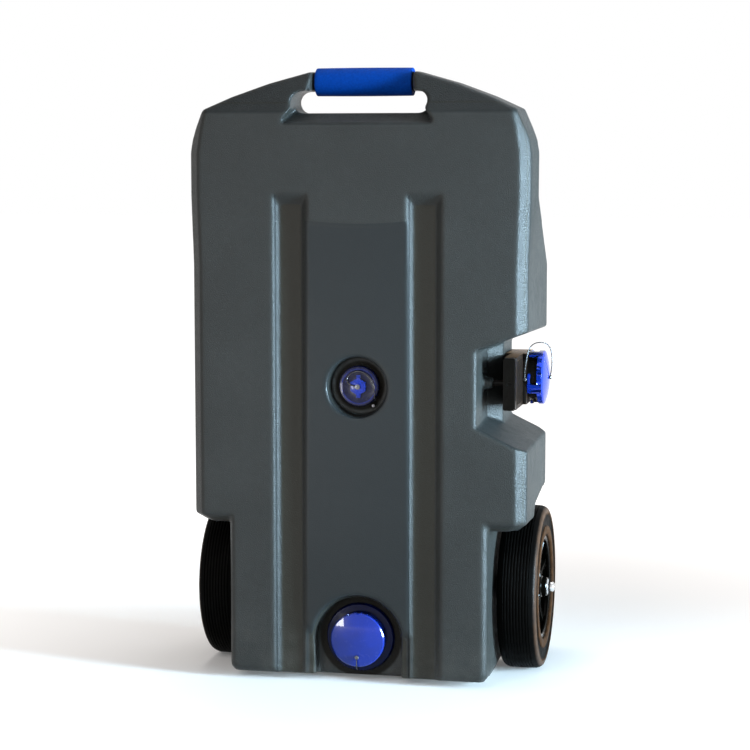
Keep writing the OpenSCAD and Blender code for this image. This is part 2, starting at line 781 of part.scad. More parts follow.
module housing_outline() {
    intersection() {
        translate([-flange_half, -housing_reach]) square([2 * flange_half, housing_reach + flange_half]);
        union() {
            rounded_square(flange_half, 8);
            translate([-flange_half, -housing_reach + 4]) square([2 * flange_half, housing_reach]);
            translate([-flange_half + 4, -housing_reach]) square([2 * flange_half - 8, 20]);
        }
    }
}
module housing_half() {
    chamber_t = gate_t / 2 + slide_gap;
    difference() {
        linear_extrude(housing_half_t) housing_outline();
        translate([0, 0, housing_half_t - chamber_t]) {
            cylinder(r = chamber_half, h = 10, $fn = 96);
            translate([-chamber_half, -(gate_end + gate_travel), 0])
                cube([2 * chamber_half, gate_end + gate_travel, 10]);
        }
        translate([0, 0, -1]) cylinder(r = drain_r, h = 40);
        translate([0, 0, housing_half_t - chamber_t - seal_t]) cylinder(r = seal_r, h = seal_t + 1);
        translate([0, -gate_end + 1, housing_half_t]) rotate([90, 0, 0])
            cylinder(r = rod_r + slide_gap, h = housing_reach, $fn = 48);
        translate([0, -gland_from + 0.2, housing_half_t]) rotate([90, 0, 0])
            cylinder(r = gland_r, h = gland_t + 0.4, $fn = 48);
        translate([0, 0, -1]) drill(concat(clamp_spots(), front_spots()), bolt_r + 0.1, 40);
    }
}
seal_t = 3;
seal_r = chamber_half - 0.6;
module gate_housing_inner() {
    color(black) at_drain(housing_x) housing_half();
}
module gate_housing_outer() {
    color(black) at_drain(lug_flange_x) difference() {
        mirror([0, 0, 1]) housing_half();
        translate([0, 0, -bolt_head_t]) drill(front_spots(), bolt_head_r + 0.2, 10);
    }
}
module gate_seal() {
    color(rubber) ring(seal_r, drain_r, seal_t);
}
module gate_seal_inner() { at_drain(split_x - gate_t / 2 - slide_gap - seal_t) gate_seal(); }
module gate_seal_outer() { at_drain(split_x + gate_t / 2 + slide_gap) gate_seal(); }
module gate_blade() {
    color(steel) at_drain(split_x - gate_t / 2) {
        cylinder(r = gate_half, h = gate_t, $fn = 96);
        translate([-gate_half, -gate_end, 0]) cube([2 * gate_half, gate_end, gate_t]);
        translate([-3, -gate_end - tongue_l, 0]) cube([6, tongue_l + 1, gate_t]);
    }
}
module gate_rod() {
    color(steel) at_drain(split_x) difference() {
        translate([0, -gate_end, 0]) rotate([90, 0, 0])
            cylinder(r = rod_r, h = housing_reach - gate_end + pull_gap + 8, $fn = 48);
        translate([-3, -gate_end - tongue_l, -gate_t / 2]) cube([6, tongue_l + 1, gate_t]);
        translate([0, -housing_reach + 8, 0]) rotate([90, 0, 0])
            cylinder(r = pull_screw_r, h = 30, $fn = 32);
    }
}
module gate_gland_seal() {
    color(rubber) at_drain(split_x) translate([0, -gland_from, 0])
        rotate([90, 0, 0]) ring(gland_r, rod_r + run_fit, gland_t);
}
// The pull closes the front of the housing; fingers hook behind its hollowed sides
pull_screw_r = 2;
module at_pull(h = 0) {
    translate([0, -housing_reach - pull_gap - h, 0]) rotate([90, 0, 0]) children();
}
module gate_pull() {
    color(black) at_drain(split_x) at_pull() difference() {
        linear_extrude(pull_t) rounded_square_box(flange_half, housing_half_t, 4);
        for (s = [-1, 1]) translate([0, s * (housing_half_t + 5), -1]) scallop(28, 7.5);
        translate([0, 0, -1]) cylinder(r = rod_r + pin_play, h = 9, $fn = 48);
        translate([0, 0, -1]) cylinder(r = pull_screw_r + 0.1, h = pull_t + 2, $fn = 32);
        translate([0, 0, pull_t - 2]) cylinder(r = 4.6, h = 4, $fn = 32);
    }
}
module scallop(half, r) {
    for (x = [-half, half]) translate([x, 0, 0]) cylinder(r = r, h = 7, $fn = 48);
    translate([-half, -r, 0]) cube([2 * half, 2 * r, 7]);
}
module rounded_square_box(half_a, half_b, r) {
    square([2 * half_a, 2 * (half_b - r)], center = true);
    square([2 * (half_a - r), 2 * half_b], center = true);
    for (x = [-1, 1], y = [-1, 1])
        translate([x * (half_a - r), y * (half_b - r)]) circle(r, $fn = 32);
}
module gate_pull_screw() {
    color(steel) at_drain(split_x) at_pull(pull_t - 2) difference() {
        union() {
            cylinder(r = 4.5, h = 1.8, $fn = 32);
            translate([0, 0, -16]) cylinder(r = pull_screw_r, h = 17, $fn = 32);
        }
        translate([-0.6, -6, 0.9]) cube([1.2, 12, 2]);
    }
}
module hose_neck() {
    color(black) at_drain(lug_flange_x) difference() {
        union() {
            linear_extrude(lug_flange_t) rounded_square(flange_half, 8);
            translate([0, 0, lug_flange_t]) bayonet_post(drain_neck_l);
        }
        translate([0, 0, -1]) cylinder(r = drain_r, h = 60);
        translate([0, 0, -1]) drill(clamp_spots(), bolt_r + 0.1, 40);
        translate([0, 0, lug_flange_t - bolt_head_t]) drill(clamp_spots(), bolt_head_r + 0.2, 10);
        translate([0, -flange_half - 1, anchor_x - lug_flange_x]) rotate([-90, 0, 0])
            cylinder(r = pin_shank_r + pin_play, h = pin_sunk + 1, $fn = 32);
    }
}
module bolt(l) {
    difference() {
        union() {
            cylinder(r = bolt_head_r, h = bolt_head_t - 0.5, $fn = 32);
            translate([0, 0, -l]) cylinder(r = bolt_r - 0.02, h = l + 1, $fn = 32);
        }
        translate([0, 0, 1.5]) cylinder(r = 2.3, h = 5, $fn = 6);
    }
}
module valve_bolts() {
    clamp_l = lug_flange_t - bolt_head_t + 2 * housing_half_t + tank_flange_t - 3;
    front_l = 2 * housing_half_t - bolt_head_t - 1;
    color(steel) {
        for (p = clamp_spots())
            at_drain(neck_x - bolt_head_t) translate([p[0], p[1], 0]) bolt(clamp_l);
        for (p = front_spots())
            at_drain(lug_flange_x - bolt_head_t) translate([p[0], p[1], 0]) bolt(front_l);
    }
}
// A post that carries the far end of the gate housing off the notch's wall
module valve_stay() {
    x0 = notch_in + stay_boss_l;
    color(black) place() {
        along_x(x0, stay_back, drain_h) cylinder(r = stay_r, h = housing_x - x0);
        along_x(x0 - 12, stay_back, drain_h) cylinder(r = stay_hole_r - 0.02, h = 13, $fn = 32);
    }
}
module drain_cap() {
    color(cap_color) at_drain(neck_x) difference() {
        cap_body(drain_neck_l, drain_dome);
        translate([0, 0, drain_pin_z]) pin_hole();
    }
}
drain_pin_z = cap_top(drain_neck_l) + drain_dome;
module drain_cap_seal() {
    color(rubber) at_drain(neck_x) cap_seal(drain_neck_l);
}
module drain_cap_pin() {
    color(steel) at_drain(neck_x) translate([0, 0, drain_pin_z]) cap_pin();
}
anchor_x = lug_flange_x + eye_r + wire_r + slide_gap + 0.1;
anchor_y = drain_back - flange_half;
module drain_anchor_screw() {
    color(steel) place() translate([anchor_x, anchor_y, drain_h]) rotate([90, 0, 0]) cap_pin();
}
// Hand-set route of the drain's tether, in width, depth and height from the drain's axis
drain_route = [
    [303, -53.2, 14], [304.5, -53.2, 28], [307.5, -51, 47], [312, -45, 62], [319, -34, 69],
    [328, -22, 70.5], [338, -11, 68], [346, -3.5, 59], [349.5, -0.5, 43],
    [349.5, 0, 25], [348, 0, 11]
];
module drain_tether() {
    eye_x = neck_x + drain_pin_z + pin_gap / 2;
    eye_y = anchor_y - pin_gap / 2;
    color(steel) place() {
        along_x(eye_x, drain_back, drain_h) wire_loop(eye_r);
        along_y(anchor_x, eye_y, drain_h) wire_loop(eye_r);
        tube(bend(concat(
            [[anchor_x, eye_y, drain_h + eye_r]],
            [for (p = drain_route) p + [0, drain_back, drain_h]],
            [[eye_x, drain_back, drain_h + eye_r]]
        ), 3), wire_r);
    }
}

// Wheels: each turns on a bush, between a thrust washer and a hub nut on the axle
hub_r = 19;
bush_r = axle_r + 3;
hub_out = 342;
nut_out = 357;
nut_from = hub_out + 1.5;
nut_l = nut_out - nut_from;
nut_r = axle_r + 2;
nut_end = 3;
axle_end = 6;
tyre_in = wheel_out - tyre_w;
module right_axle(x) { along_x(x, axle_back, axle_h) children(); }
module axle() {
    half = nut_out - axle_end;
    color(steel) place() right_axle(-half) cylinder(r = axle_r, h = 2 * half);
}
module thrust_washers() {
    color(black) place() both_sides() right_axle(foot_half_w)
        ring(hub_r + 2, axle_r + run_fit, tyre_in - slide_gap - foot_half_w);
}
module outer_washers() {
    color(steel) place() both_sides() right_axle(hub_out + slide_gap)
        ring(hub_r - 3, axle_r + run_fit, nut_from - hub_out - slide_gap);
}
module hub_nut() {
    color(steel) place() right_axle(nut_from) difference() {
        union() {
            cylinder(r = nut_r, h = nut_l - nut_end, $fn = 48);
            translate([0, 0, nut_l - nut_end - eps])
                cylinder(r1 = nut_r, r2 = nut_r - nut_end, h = nut_end + eps, $fn = 48);
        }
        translate([0, 0, -1]) cylinder(r = axle_r + pin_play, h = nut_l - axle_end + 1);
    }
}
shoulder_r = 14;
tread_grooves = 9;
groove_w = 2;
groove_deep = 3;
module tyre_section() {
    difference() {
        intersection() {
            union() {
                translate([rim_r, 6]) square([wheel_r - rim_r, tyre_w - 12]);
                translate([rim_r + 5, 0]) square([wheel_r - rim_r - 5 - shoulder_r, tyre_w]);
                for (y = [shoulder_r, tyre_w - shoulder_r])
                    translate([wheel_r - shoulder_r, y]) circle(shoulder_r, $fn = 48);
                translate([wheel_r - shoulder_r - 1, shoulder_r])
                    square([shoulder_r + 1, tyre_w - 2 * shoulder_r]);
            }
            union() {
                translate([rim_r, 0]) square([wheel_r - rim_r - shoulder_r, tyre_w]);
                translate([wheel_r - shoulder_r, shoulder_r]) circle(shoulder_r, $fn = 48);
                translate([wheel_r - shoulder_r, tyre_w - shoulder_r]) circle(shoulder_r, $fn = 48);
                translate([rim_r, shoulder_r]) square([wheel_r - rim_r, tyre_w - 2 * shoulder_r]);
            }
        }
        pitch = (tyre_w - 2 * shoulder_r) / (tread_grooves - 1);
        for (k = [0 : tread_grooves - 1])
            translate([wheel_r - groove_deep, shoulder_r + pitch * k - groove_w / 2])
                square([groove_deep + 1, groove_w]);
        for (y = [-1, tyre_w - 1.2])
            translate([rim_r + 16, y]) square([3, 2.2]);
    }
}
module tyre() {
    color(rubber) place() right_axle(tyre_in) rotate_extrude($fn = 96) tyre_section();
}
rim_edge = 7;
barrel_t = 5;
spoke_w = 11;
spoke_t = 14;
module rim() {
    barrel_l = tyre_w - 2 * rim_edge;
    color(black) place() right_axle(tyre_in) {
        translate([0, 0, rim_edge]) ring(rim_r, rim_r - barrel_t, barrel_l);
        for (z = [rim_edge, tyre_w - rim_edge - 3])
            translate([0, 0, z]) ring(rim_r - barrel_t + eps, rim_r - barrel_t - 4, 3);
        ring(hub_r, bush_r, hub_out - tyre_in);
        for (k = [0 : spokes - 1]) rotate([0, 0, k * 360 / spokes])
            translate([hub_r - 2, -spoke_w / 2, tyre_w - rim_edge - spoke_t - 4])
                cube([rim_r - barrel_t - hub_r + 3, spoke_w, spoke_t]);
    }
}
module bush() {
    color(steel) place() right_axle(tyre_in) ring(bush_r, axle_r + run_fit, hub_out - tyre_in);
}
module tyre_right() { tyre(); }
module rim_right() { rim(); }
module bush_right() { bush(); }
module hub_nut_right() { hub_nut(); }
module tyre_left() { mirror([1, 0, 0]) tyre(); }
module rim_left() { mirror([1, 0, 0]) rim(); }
module bush_left() { mirror([1, 0, 0]) bush(); }
module hub_nut_left() { mirror([1, 0, 0]) hub_nut(); }

tank_shell();
handle_grip();
inlet_neck();
inlet_gasket();
inlet_locknut();
inlet_cap();
inlet_cap_seal();
inlet_cap_pin();
inlet_tether();
vent_cap();
vent_cap_seal();
vent_cap_screw();
vent_tether();
vent_anchor_screw();
drain_gasket();
drain_flange();
drain_locknut();
gate_housing_inner();
gate_housing_outer();
gate_seal_inner();
gate_seal_outer();
gate_blade();
gate_rod();
gate_gland_seal();
gate_pull();
gate_pull_screw();
hose_neck();
valve_bolts();
valve_stay();
drain_cap();
drain_cap_seal();
drain_cap_pin();
drain_tether();
drain_anchor_screw();
axle();
thrust_washers();
outer_washers();
tyre_left();
rim_left();
bush_left();
hub_nut_left();
tyre_right();
rim_right();
bush_right();
hub_nut_right();
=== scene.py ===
"""Looks of the portable waste water tank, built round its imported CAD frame."""
import json
import math

import bmesh
import bpy
from mathutils import Matrix, Vector


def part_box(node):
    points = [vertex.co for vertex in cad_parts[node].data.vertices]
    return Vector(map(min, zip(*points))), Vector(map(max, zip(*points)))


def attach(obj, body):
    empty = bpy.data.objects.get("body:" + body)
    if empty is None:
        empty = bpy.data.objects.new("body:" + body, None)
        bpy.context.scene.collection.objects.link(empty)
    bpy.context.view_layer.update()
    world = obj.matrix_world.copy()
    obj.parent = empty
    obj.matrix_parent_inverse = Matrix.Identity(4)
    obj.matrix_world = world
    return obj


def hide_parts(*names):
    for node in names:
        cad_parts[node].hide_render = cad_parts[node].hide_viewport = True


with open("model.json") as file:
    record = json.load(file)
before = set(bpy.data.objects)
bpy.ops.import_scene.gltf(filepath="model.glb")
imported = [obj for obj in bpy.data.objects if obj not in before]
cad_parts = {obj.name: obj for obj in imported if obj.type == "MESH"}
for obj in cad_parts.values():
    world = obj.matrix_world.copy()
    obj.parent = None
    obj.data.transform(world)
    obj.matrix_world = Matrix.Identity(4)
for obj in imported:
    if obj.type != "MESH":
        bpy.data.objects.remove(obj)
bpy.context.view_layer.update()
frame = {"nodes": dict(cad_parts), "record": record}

MM = 0.001
FRONT_Y = -0.1945  # the capped face, in the frame's Y
VENT_Z = 0.581  # axis of the vent, in the middle of the face
INLET_Z = 0.086  # axis of the inlet, at the foot of the face
DRAIN_Y, DRAIN_Z = 0.0175, 0.587  # axis of the drain valve, which points along +X
STAY_Y = -0.1095  # the valve's stay enters the tank here, at the drain's height
VENT_DISC_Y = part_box("vent_cap")[0].y + 0.008  # the vent cap's flat face, under its knob

# The middle panel of the face: half its width, its top edge and how that edge rises outwards
PANEL_HALF, PANEL_TOP, PANEL_RISE = 0.1015, 0.8945, 0.55
GROOVE_DEPTH = 0.014
GROOVE_TOP = 0.948
SHADE_LINES_X = (-0.160, 0.102)  # a painted dark line, the shade of a fine step, runs down the grooves' flanks that face +X
SHADE_LINE_HALF = 0.0018  # half the width of that painted line
OUTER_WALL_X = 0.24  # further out than this, a face that looks sideways is an outer wall


# Camera

def make_camera():
    """The camera as fitted on the photograph: to the object's right and a little above."""
    to_the_right, downwards = 12.1, 6.0
    data = bpy.data.cameras.new("camera")
    data.sensor_width = 36.0
    data.lens = 100.39
    data.clip_end = 50.0
    camera = bpy.data.objects.new("camera", data)
    camera.location = (0.8701, -4.0794, 1.0239)
    camera.rotation_euler = (math.radians(90.0 - downwards), 0.0, math.radians(to_the_right))
    bpy.context.scene.collection.objects.link(camera)
    bpy.context.scene.camera = camera


# Materials

class Shader:
    """A material with a Principled shader and short ways to feed it."""

    def __init__(self, name, **fixed):
        self.material = bpy.data.materials.new(name)
        self.material.use_nodes = True
        self.tree = self.material.node_tree
        self.bsdf = self.tree.nodes["Principled BSDF"]
        for socket, value in fixed.items():
            self.bsdf.inputs[socket.replace("_", " ")].default_value = value
        self.where = self.tree.nodes.new("ShaderNodeTexCoord").outputs["Object"]

    def link(self, source, target):
        """Feeds a socket with a number, a colour or another socket."""
        if isinstance(source, (int, float, tuple)):
            target.default_value = source
        else:
            self.tree.links.new(source, target)

    def node(self, kind):
        return self.tree.nodes.new("ShaderNode" + kind)

    def noise(self, size, detail=2.0, stretch=(1, 1, 1)):
        """Noise with features of about this size in metres."""
        where = self.where
        if stretch != (1, 1, 1):
            mapping = self.node("Mapping")
            mapping.inputs["Scale"].default_value = stretch
            self.link(where, mapping.inputs["Vector"])
            where = mapping.outputs["Vector"]
        node = self.node("TexNoise")
        node.inputs["Scale"].default_value = 1.0 / size
        node.inputs["Detail"].default_value = detail
        self.link(where, node.inputs["Vector"])
        return node.outputs["Fac"]

    def math(self, operation, a, b=0.0):
        node = self.node("Math")
        node.operation = operation
        for value, socket in zip((a, b), node.inputs):
            self.link(value, socket)
        return node.outputs[0]

    def product(self, first, *others):
        for other in others:
            first = self.math("MULTIPLY", first, other)
        return first

    def largest(self, first, *others):
        for other in others:
            first = self.math("MAXIMUM", first, other)
        return first

    def reach(self, a, b):
        """Length of the pair of distances a and b."""
        return self.math("SQRT", self.math("ADD", self.product(a, a), self.product(b, b)))

    def off(self, value, middle):
        """Distance of a value from its middle, either way."""
        return self.math("ABSOLUTE", self.math("SUBTRACT", value, middle))

    def spread(self, value, low, high, source=(0.3, 0.7)):
        """Carries a value over from its source range, such as the middle of a noise, to low and high."""
        node = self.node("MapRange")
        self.link(value, node.inputs["Value"])
        for socket, number in zip(("From Min", "From Max", "To Min", "To Max"), (*source, low, high)):
            node.inputs[socket].default_value = number
        return node.outputs["Result"]

    def mix(self, share, a, b):
        """Mixes two colours, each a socket or three numbers."""
        node = self.node("Mix")
        node.data_type = "RGBA"
        self.link(share, node.inputs[0])
        for colour, socket in ((a, node.inputs[6]), (b, node.inputs[7])):
            self.link((*colour, 1.0) if isinstance(colour, tuple) else colour, socket)
        return node.outputs[2]

    def parts(self, vector):
        """The x, y and z of a vector socket."""
        node = self.node("SeparateXYZ")
        self.link(vector, node.inputs[0])
        return node.outputs

    def axes(self):
        """The x, y and z of each point, in the object's own frame."""
        return self.parts(self.where)

    def bump(self, *layers):
        """Stacks layers of (height from 0 to 1, depth in metres, strength)."""
        normal = None
        for height, depth, strength in layers:
            node = self.node("Bump")
            node.inputs["Distance"].default_value = depth
            self.link(strength, node.inputs["Strength"])
            self.link(height, node.inputs["Height"])
            if normal is not None:
                self.link(normal, node.inputs["Normal"])
            normal = node.outputs["Normal"]
        self.link(normal, self.bsdf.inputs["Normal"])

    def base(self, colour):
        self.link(colour, self.bsdf.inputs["Base Color"])

    def roughness(self, value):
        self.link(value, self.bsdf.inputs["Roughness"])

    def shine(self, value):
        self.link(value, self.bsdf.inputs["Specular IOR Level"])


def shades(colour, low, high):
    """A colour's darker and lighter shade, as two shares of it."""
    return tuple(c * low for c in colour), tuple(c * high for c in colour)


def round_pit(s, x, y, z, height, radius, depth):
    """1 inside a round recess of the tank's face, further in than depth."""
    near = s.spread(s.reach(x, s.math("SUBTRACT", z, height)), 1.0, 0.0, (radius, radius + 0.004))
    inside = s.spread(y, 0.0, 1.0, (FRONT_Y + depth - 0.003, FRONT_Y + depth + 0.003))
    return s.product(near, inside)


def smooth_panel(s, x, y, z):
    """1 on the middle panel of the face, whose upper edge sags a little in the middle."""
    across = s.math("LESS_THAN", s.math("ABSOLUTE", x), PANEL_HALF)
    under = s.math("LESS_THAN", s.math("SUBTRACT", z, s.product(x, x, PANEL_RISE)), PANEL_TOP)
    ahead = s.math("LESS_THAN", y, FRONT_Y + 0.012)
    return s.product(across, under, ahead)


def painted_pit_shade(s, x, y, z):
    """1 in the recesses round the vent and the inlet, which get painted shade."""
    pits = s.largest(
        round_pit(s, x, y, z, height=VENT_Z, radius=0.046, depth=0.012),
        round_pit(s, x, y, z, height=INLET_Z, radius=0.080, depth=0.016),
    )
    return s.product(pits, s.math("LESS_THAN", y, FRONT_Y + 0.100))


def flank_shade_lines(s, x, y, z):
    """1 on the painted dark line, the shade of a fine step, that runs down each groove's right flank."""
    flank = s.math("LESS_THAN", s.off(y, FRONT_Y + 0.011), 0.009)
    flank = s.product(s.math("LESS_THAN", z, GROOVE_TOP), flank)
    nearest = s.math("MINIMUM", *[s.off(x, at) for at in SHADE_LINES_X])
    return s.product(flank, s.spread(nearest, 1.0, 0.0, (0.0010, SHADE_LINE_HALF)))


def moulded_body():
    """Dark rotomoulded plastic with a fine pebbled skin; the middle panel is smoother. Painted shade darkens
    the recesses, the groove floors, the faces that look upwards and a line down each groove's right flank.
    """
    s = Shader("moulded_body")
    x, y, z = s.axes()
    panel = smooth_panel(s, x, y, z)
    pit_shade = painted_pit_shade(s, x, y, z)
    shade_line = flank_shade_lines(s, x, y, z)
    facing = s.parts(s.node("NewGeometry").outputs["True Normal"])
    # Faces that look upwards get painted shade and a duller shine.
    upper = s.spread(facing["Z"], 0.0, 1.0, (0.20, 0.50))
    outer_side = s.spread(s.math("ABSOLUTE", facing["X"]), 0.0, 0.95, (0.80, 0.97))
    outer_side = s.product(outer_side, s.math("GREATER_THAN", s.math("ABSOLUTE", x), OUTER_WALL_X))

    broad = s.spread(s.noise(0.16, 3.0), 0.0, 1.0)
    colour = s.mix(broad, (0.0185, 0.0192, 0.0182), (0.0240, 0.0248, 0.0236))
    blotches = s.spread(s.noise(0.012, 4.0), 0.0, 0.35)
    colour = s.mix(blotches, colour, (0.0150, 0.0165, 0.0160))
    colour = s.mix(s.product(panel, 0.85), colour, (0.0110, 0.0130, 0.0138))
    # Painted shade: the groove floors are darker and browner, where their walls hide them from the side
    # light.
    groove = s.math("LESS_THAN", s.off(y, FRONT_Y + GROOVE_DEPTH), 0.0012)
    colour = s.mix(s.product(groove, 0.8), colour, (0.0185, 0.0172, 0.0122))
    dust = s.product(s.spread(z, 0.35, 0.0, (0.01, 0.16)), s.spread(s.noise(0.03, 5.0), 0.0, 1.0))
    colour = s.mix(s.product(dust, 0.75), colour, (0.085, 0.080, 0.070))
    # Painted shade: the recesses round the vent and the inlet turn brown-black.
    colour = s.mix(s.product(pit_shade, 0.8), colour, (0.010, 0.008, 0.006))
    # Painted shade on faces that look upwards and on the line down each groove's right flank.
    shade = s.largest(s.product(upper, 0.35), s.product(shade_line, 0.6))
    s.base(s.mix(shade, colour, (0.006, 0.007, 0.008)))

    dull = s.largest(pit_shade, s.product(upper, 0.75), outer_side, s.product(shade_line, 0.8))
    s.shine(s.math("SUBTRACT", 0.165, s.product(dull, 0.14)))
    s.roughness(s.spread(s.noise(0.02, 4.0), 0.30, 0.37))
    grain = s.math("SUBTRACT", 0.70, s.product(panel, 0.45))
    s.bump(
        (s.noise(0.05, 2.0), 0.0015, 0.25),
        (s.noise(0.0024, 2.0), 0.0010, grain),
        (s.noise(0.0012, 1.0), 0.0006, s.product(grain, 0.7)),
    )
    return s.material


def smooth_plastic(name, colour, rough, grain=0.0012, depth=0.0001, **fixed):
    """Injection-moulded plastic: even colour, faint flow marks and a fine skin."""
    s = Shader(name, **fixed)
    dark, light = shades(colour, 0.86, 1.08)
    s.base(s.mix(s.spread(s.noise(0.03, 4.0), 0.0, 1.0), dark, light))
    s.roughness(s.spread(s.noise(0.009, 5.0), rough - 0.05, rough + 0.08))
    s.bump((s.noise(0.018, 1.0), 0.0004, 0.12), (s.noise(grain, 2.0), depth, 0.35))
    return s.material


def vent_plastic():
    """The vent cap's blue plastic: its low disc is painted dark with shade, in mottled tones; its knob keeps
    a clean bright blue.
    """
    s = Shader("vent_plastic", Specular_IOR_Level=0.20, Coat_Weight=0.15, Coat_Roughness=0.06)
    raised = s.spread(s.axes()["Y"], 1.0, 0.0, (VENT_DISC_Y - 0.003, VENT_DISC_Y - 0.0005))
    mottle = s.spread(s.noise(0.008, 5.0), 0.7, 1.0)
    # Painted shade: the low disc is dark, while the knob keeps its blue.
    disc = s.mix(mottle, (0.0012, 0.0040, 0.060), (0.0015, 0.0030, 0.024))
    s.base(s.mix(raised, disc, (0.0028, 0.0190, 0.22)))
    s.roughness(s.spread(s.noise(0.009, 5.0), 0.20, 0.34))
    s.bump((s.noise(0.0012, 2.0), 0.00003, 0.35))
    return s.material


def grip_foam():
    """Soft blue sleeve with a fine cell structure."""
    s = Shader("grip_foam", Specular_IOR_Level=0.04)
    s.base(s.mix(s.spread(s.noise(0.004, 5.0), 0.0, 1.0), (0.000, 0.027, 0.185), (0.000, 0.037, 0.240)))
    s.roughness(s.spread(s.noise(0.006, 3.0), 0.55, 0.72))
    s.bump((s.noise(0.010, 2.0), 0.0006, 0.20), (s.noise(0.0012, 2.0), 0.0004, 0.45))
    return s.material


def rubber(name, colour, rough):
    """Black rubber: a dull skin with dust in its low spots."""
    s = Shader(name, Specular_IOR_Level=0.10)
    dust = s.spread(s.noise(0.014, 6.0), 0.0, 0.35, (0.45, 0.75))
    s.base(s.mix(dust, colour, tuple(c * 2.2 + 0.004 for c in colour)))
    s.roughness(s.spread(s.noise(0.02, 4.0), rough - 0.07, rough + 0.1))
    s.bump((s.noise(0.0015, 3.0), 0.0002, 0.4))
    return s.material


def tyre_rubber():
    """Black tread; the raised bands of the side walls carry a patchy painted brown reflection."""
    s = Shader("tyre_rubber")
    x, y, z = s.axes()
    hub = middle_of("tyre_left")
    r = s.reach(s.math("SUBTRACT", y, hub.y), s.math("SUBTRACT", z, hub.z))
    # Each last pair of numbers is the stretch, in metres, over which a mask comes or goes
    outside = s.spread(s.math("ABSOLUTE", x), 0.0, 1.0, (0.3340, 0.3385))
    outer_band = s.spread(r, 0.0, 1.0, (0.1435, 0.1475))
    inner_band = s.spread(r, 1.0, 0.0, (0.1215, 0.1240))
    shoulder = s.product(outside, s.spread(r, 0.0, 0.18, (0.1475, 0.1510)))
    s.shine(s.math("ADD", shoulder, 0.02))
    reflection_patches = s.spread(s.noise(0.016, 5.0), 0.30, 0.90)
    mottle = s.spread(s.noise(0.014, 6.0), 0.0, 0.3, (0.45, 0.75))
    colour = s.mix(mottle, (0.0010, 0.0009, 0.0008), (0.0040, 0.0034, 0.0028))
    # Painted reflection: a patchy warm brown on the raised bands of the outer side walls.
    brown_reflection = s.product(outside, s.largest(outer_band, inner_band), reflection_patches)
    s.base(s.mix(brown_reflection, colour, (0.048, 0.020, 0.008)))
    s.roughness(s.spread(s.noise(0.02, 4.0), 0.42, 0.60))
    s.bump((s.noise(0.0015, 3.0), 0.0002, 0.4))
    return s.material


def metal(name, colour, rough, stretch=(1, 1, 1), grain=0.0015, depth=0.00006):
    """Bare metal whose grain runs along the axis that stretch makes long."""
    s = Shader(name, Metallic=1.0)
    dark, light = shades(colour, 0.78, 1.0)
    s.base(s.mix(s.spread(s.noise(0.012, 4.0), 0.0, 1.0), dark, light))
    lines = s.noise(grain, 3.0, stretch)
    s.roughness(s.spread(lines, rough - 0.06, rough + 0.12))
    s.bump((lines, depth, 0.5))
    return s.material


def strand():
    """Dark stainless strands, twisted round the wire; the UV runs along it in metres."""
    s = Shader("tether_wire", Metallic=1.0)
    uv = s.node("UVMap")
    uv.uv_map = "along"
    along, around, _ = s.parts(uv.outputs["UV"])
    turns_per_metre, strands = 140.0, 6.0
    turn = s.math("ADD", s.product(along, turns_per_metre), s.product(around, strands))
    crest = s.math("ABSOLUTE", s.math("SINE", s.product(turn, math.pi)))
    tone = s.mix(s.spread(s.noise(0.006, 3.0), 0.0, 1.0), (0.050, 0.050, 0.052), (0.095, 0.095, 0.10))
    # Painted shade: the hollows between the strands are darker.
    s.base(s.mix(s.spread(crest, 0.5, 0.0, (0.0, 0.5)), tone, (0.012, 0.012, 0.012)))
    s.roughness(s.spread(s.noise(0.004, 3.0), 0.18, 0.30))
    s.bump((crest, 0.0002, 0.4))
    return s.material


def make_materials():
    """Every material, by the name that look_of gives."""
    return {
        "body": moulded_body(),
        "grip": grip_foam(),
        "cap": smooth_plastic("cap_plastic", (0.0010, 0.0150, 0.175), 0.22, depth=0.00002,
                              Specular_IOR_Level=0.12, Coat_Weight=0.6, Coat_Roughness=0.03),
        # The fittings' brown sheen is a painted reflection, warm at grazing angles.
        "fitting": smooth_plastic("fitting_plastic", (0.0042, 0.0038, 0.0034), 0.34, Specular_IOR_Level=0.07,
                                  Sheen_Weight=0.08, Sheen_Tint=(0.70, 0.32, 0.14, 1)),
        "pull": smooth_plastic("pull_plastic", (0.0022, 0.0018, 0.0014), 0.30, Specular_IOR_Level=0.05),
        "rim": smooth_plastic("rim_plastic", (0.0022, 0.0018, 0.0014), 0.14, Specular_IOR_Level=0.12),
        "vent": vent_plastic(),
        "collar": smooth_plastic("collar_plastic", (0.0008, 0.0025, 0.024), 0.16, depth=0.00002,
                                 Specular_IOR_Level=0.12),
        "rubber": rubber("seal_rubber", (0.0050, 0.0050, 0.0050), 0.55),
        "tyre": tyre_rubber(),
        "wire": strand(),
        "steel": metal("turned_steel", (0.58, 0.58, 0.59), 0.32, (0.05, 1, 1)),
        "dark_steel": metal("dark_steel", (0.13, 0.13, 0.14), 0.30),
        "chrome": metal("polished_chrome", (0.80, 0.80, 0.81), 0.12),
    }


# Mesh helpers

def middle_of(node):
    """The centre of a CAD node's box."""
    low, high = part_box(node)
    return (Vector(low) + Vector(high)) / 2


def body_with(node):
    """The name of the body that a CAD node belongs to."""
    return next(name for name, nodes in frame["record"]["behaviour"]["bodies"].items() if node in nodes)


def slot_with(node):
    """The name of the material slot of a CAD node."""
    return next(s["material_slot"] for s in frame["record"]["subparts"] if s["node"] == node)


# Nodes that look other than their material slot says
OWN_LOOK = {"inlet_neck": "collar", "vent_cap": "vent", "gate_pull_screw": "pull"}
OWN_LOOK.update(dict.fromkeys((
    "inlet_cap_pin", "vent_cap_screw", "vent_anchor_screw", "drain_cap_pin", "drain_anchor_screw",
    "valve_bolts",
), "dark_steel"))


def look_of(node):
    """The name of the material that a CAD node wears."""
    return OWN_LOOK.get(node, slot_with(node))


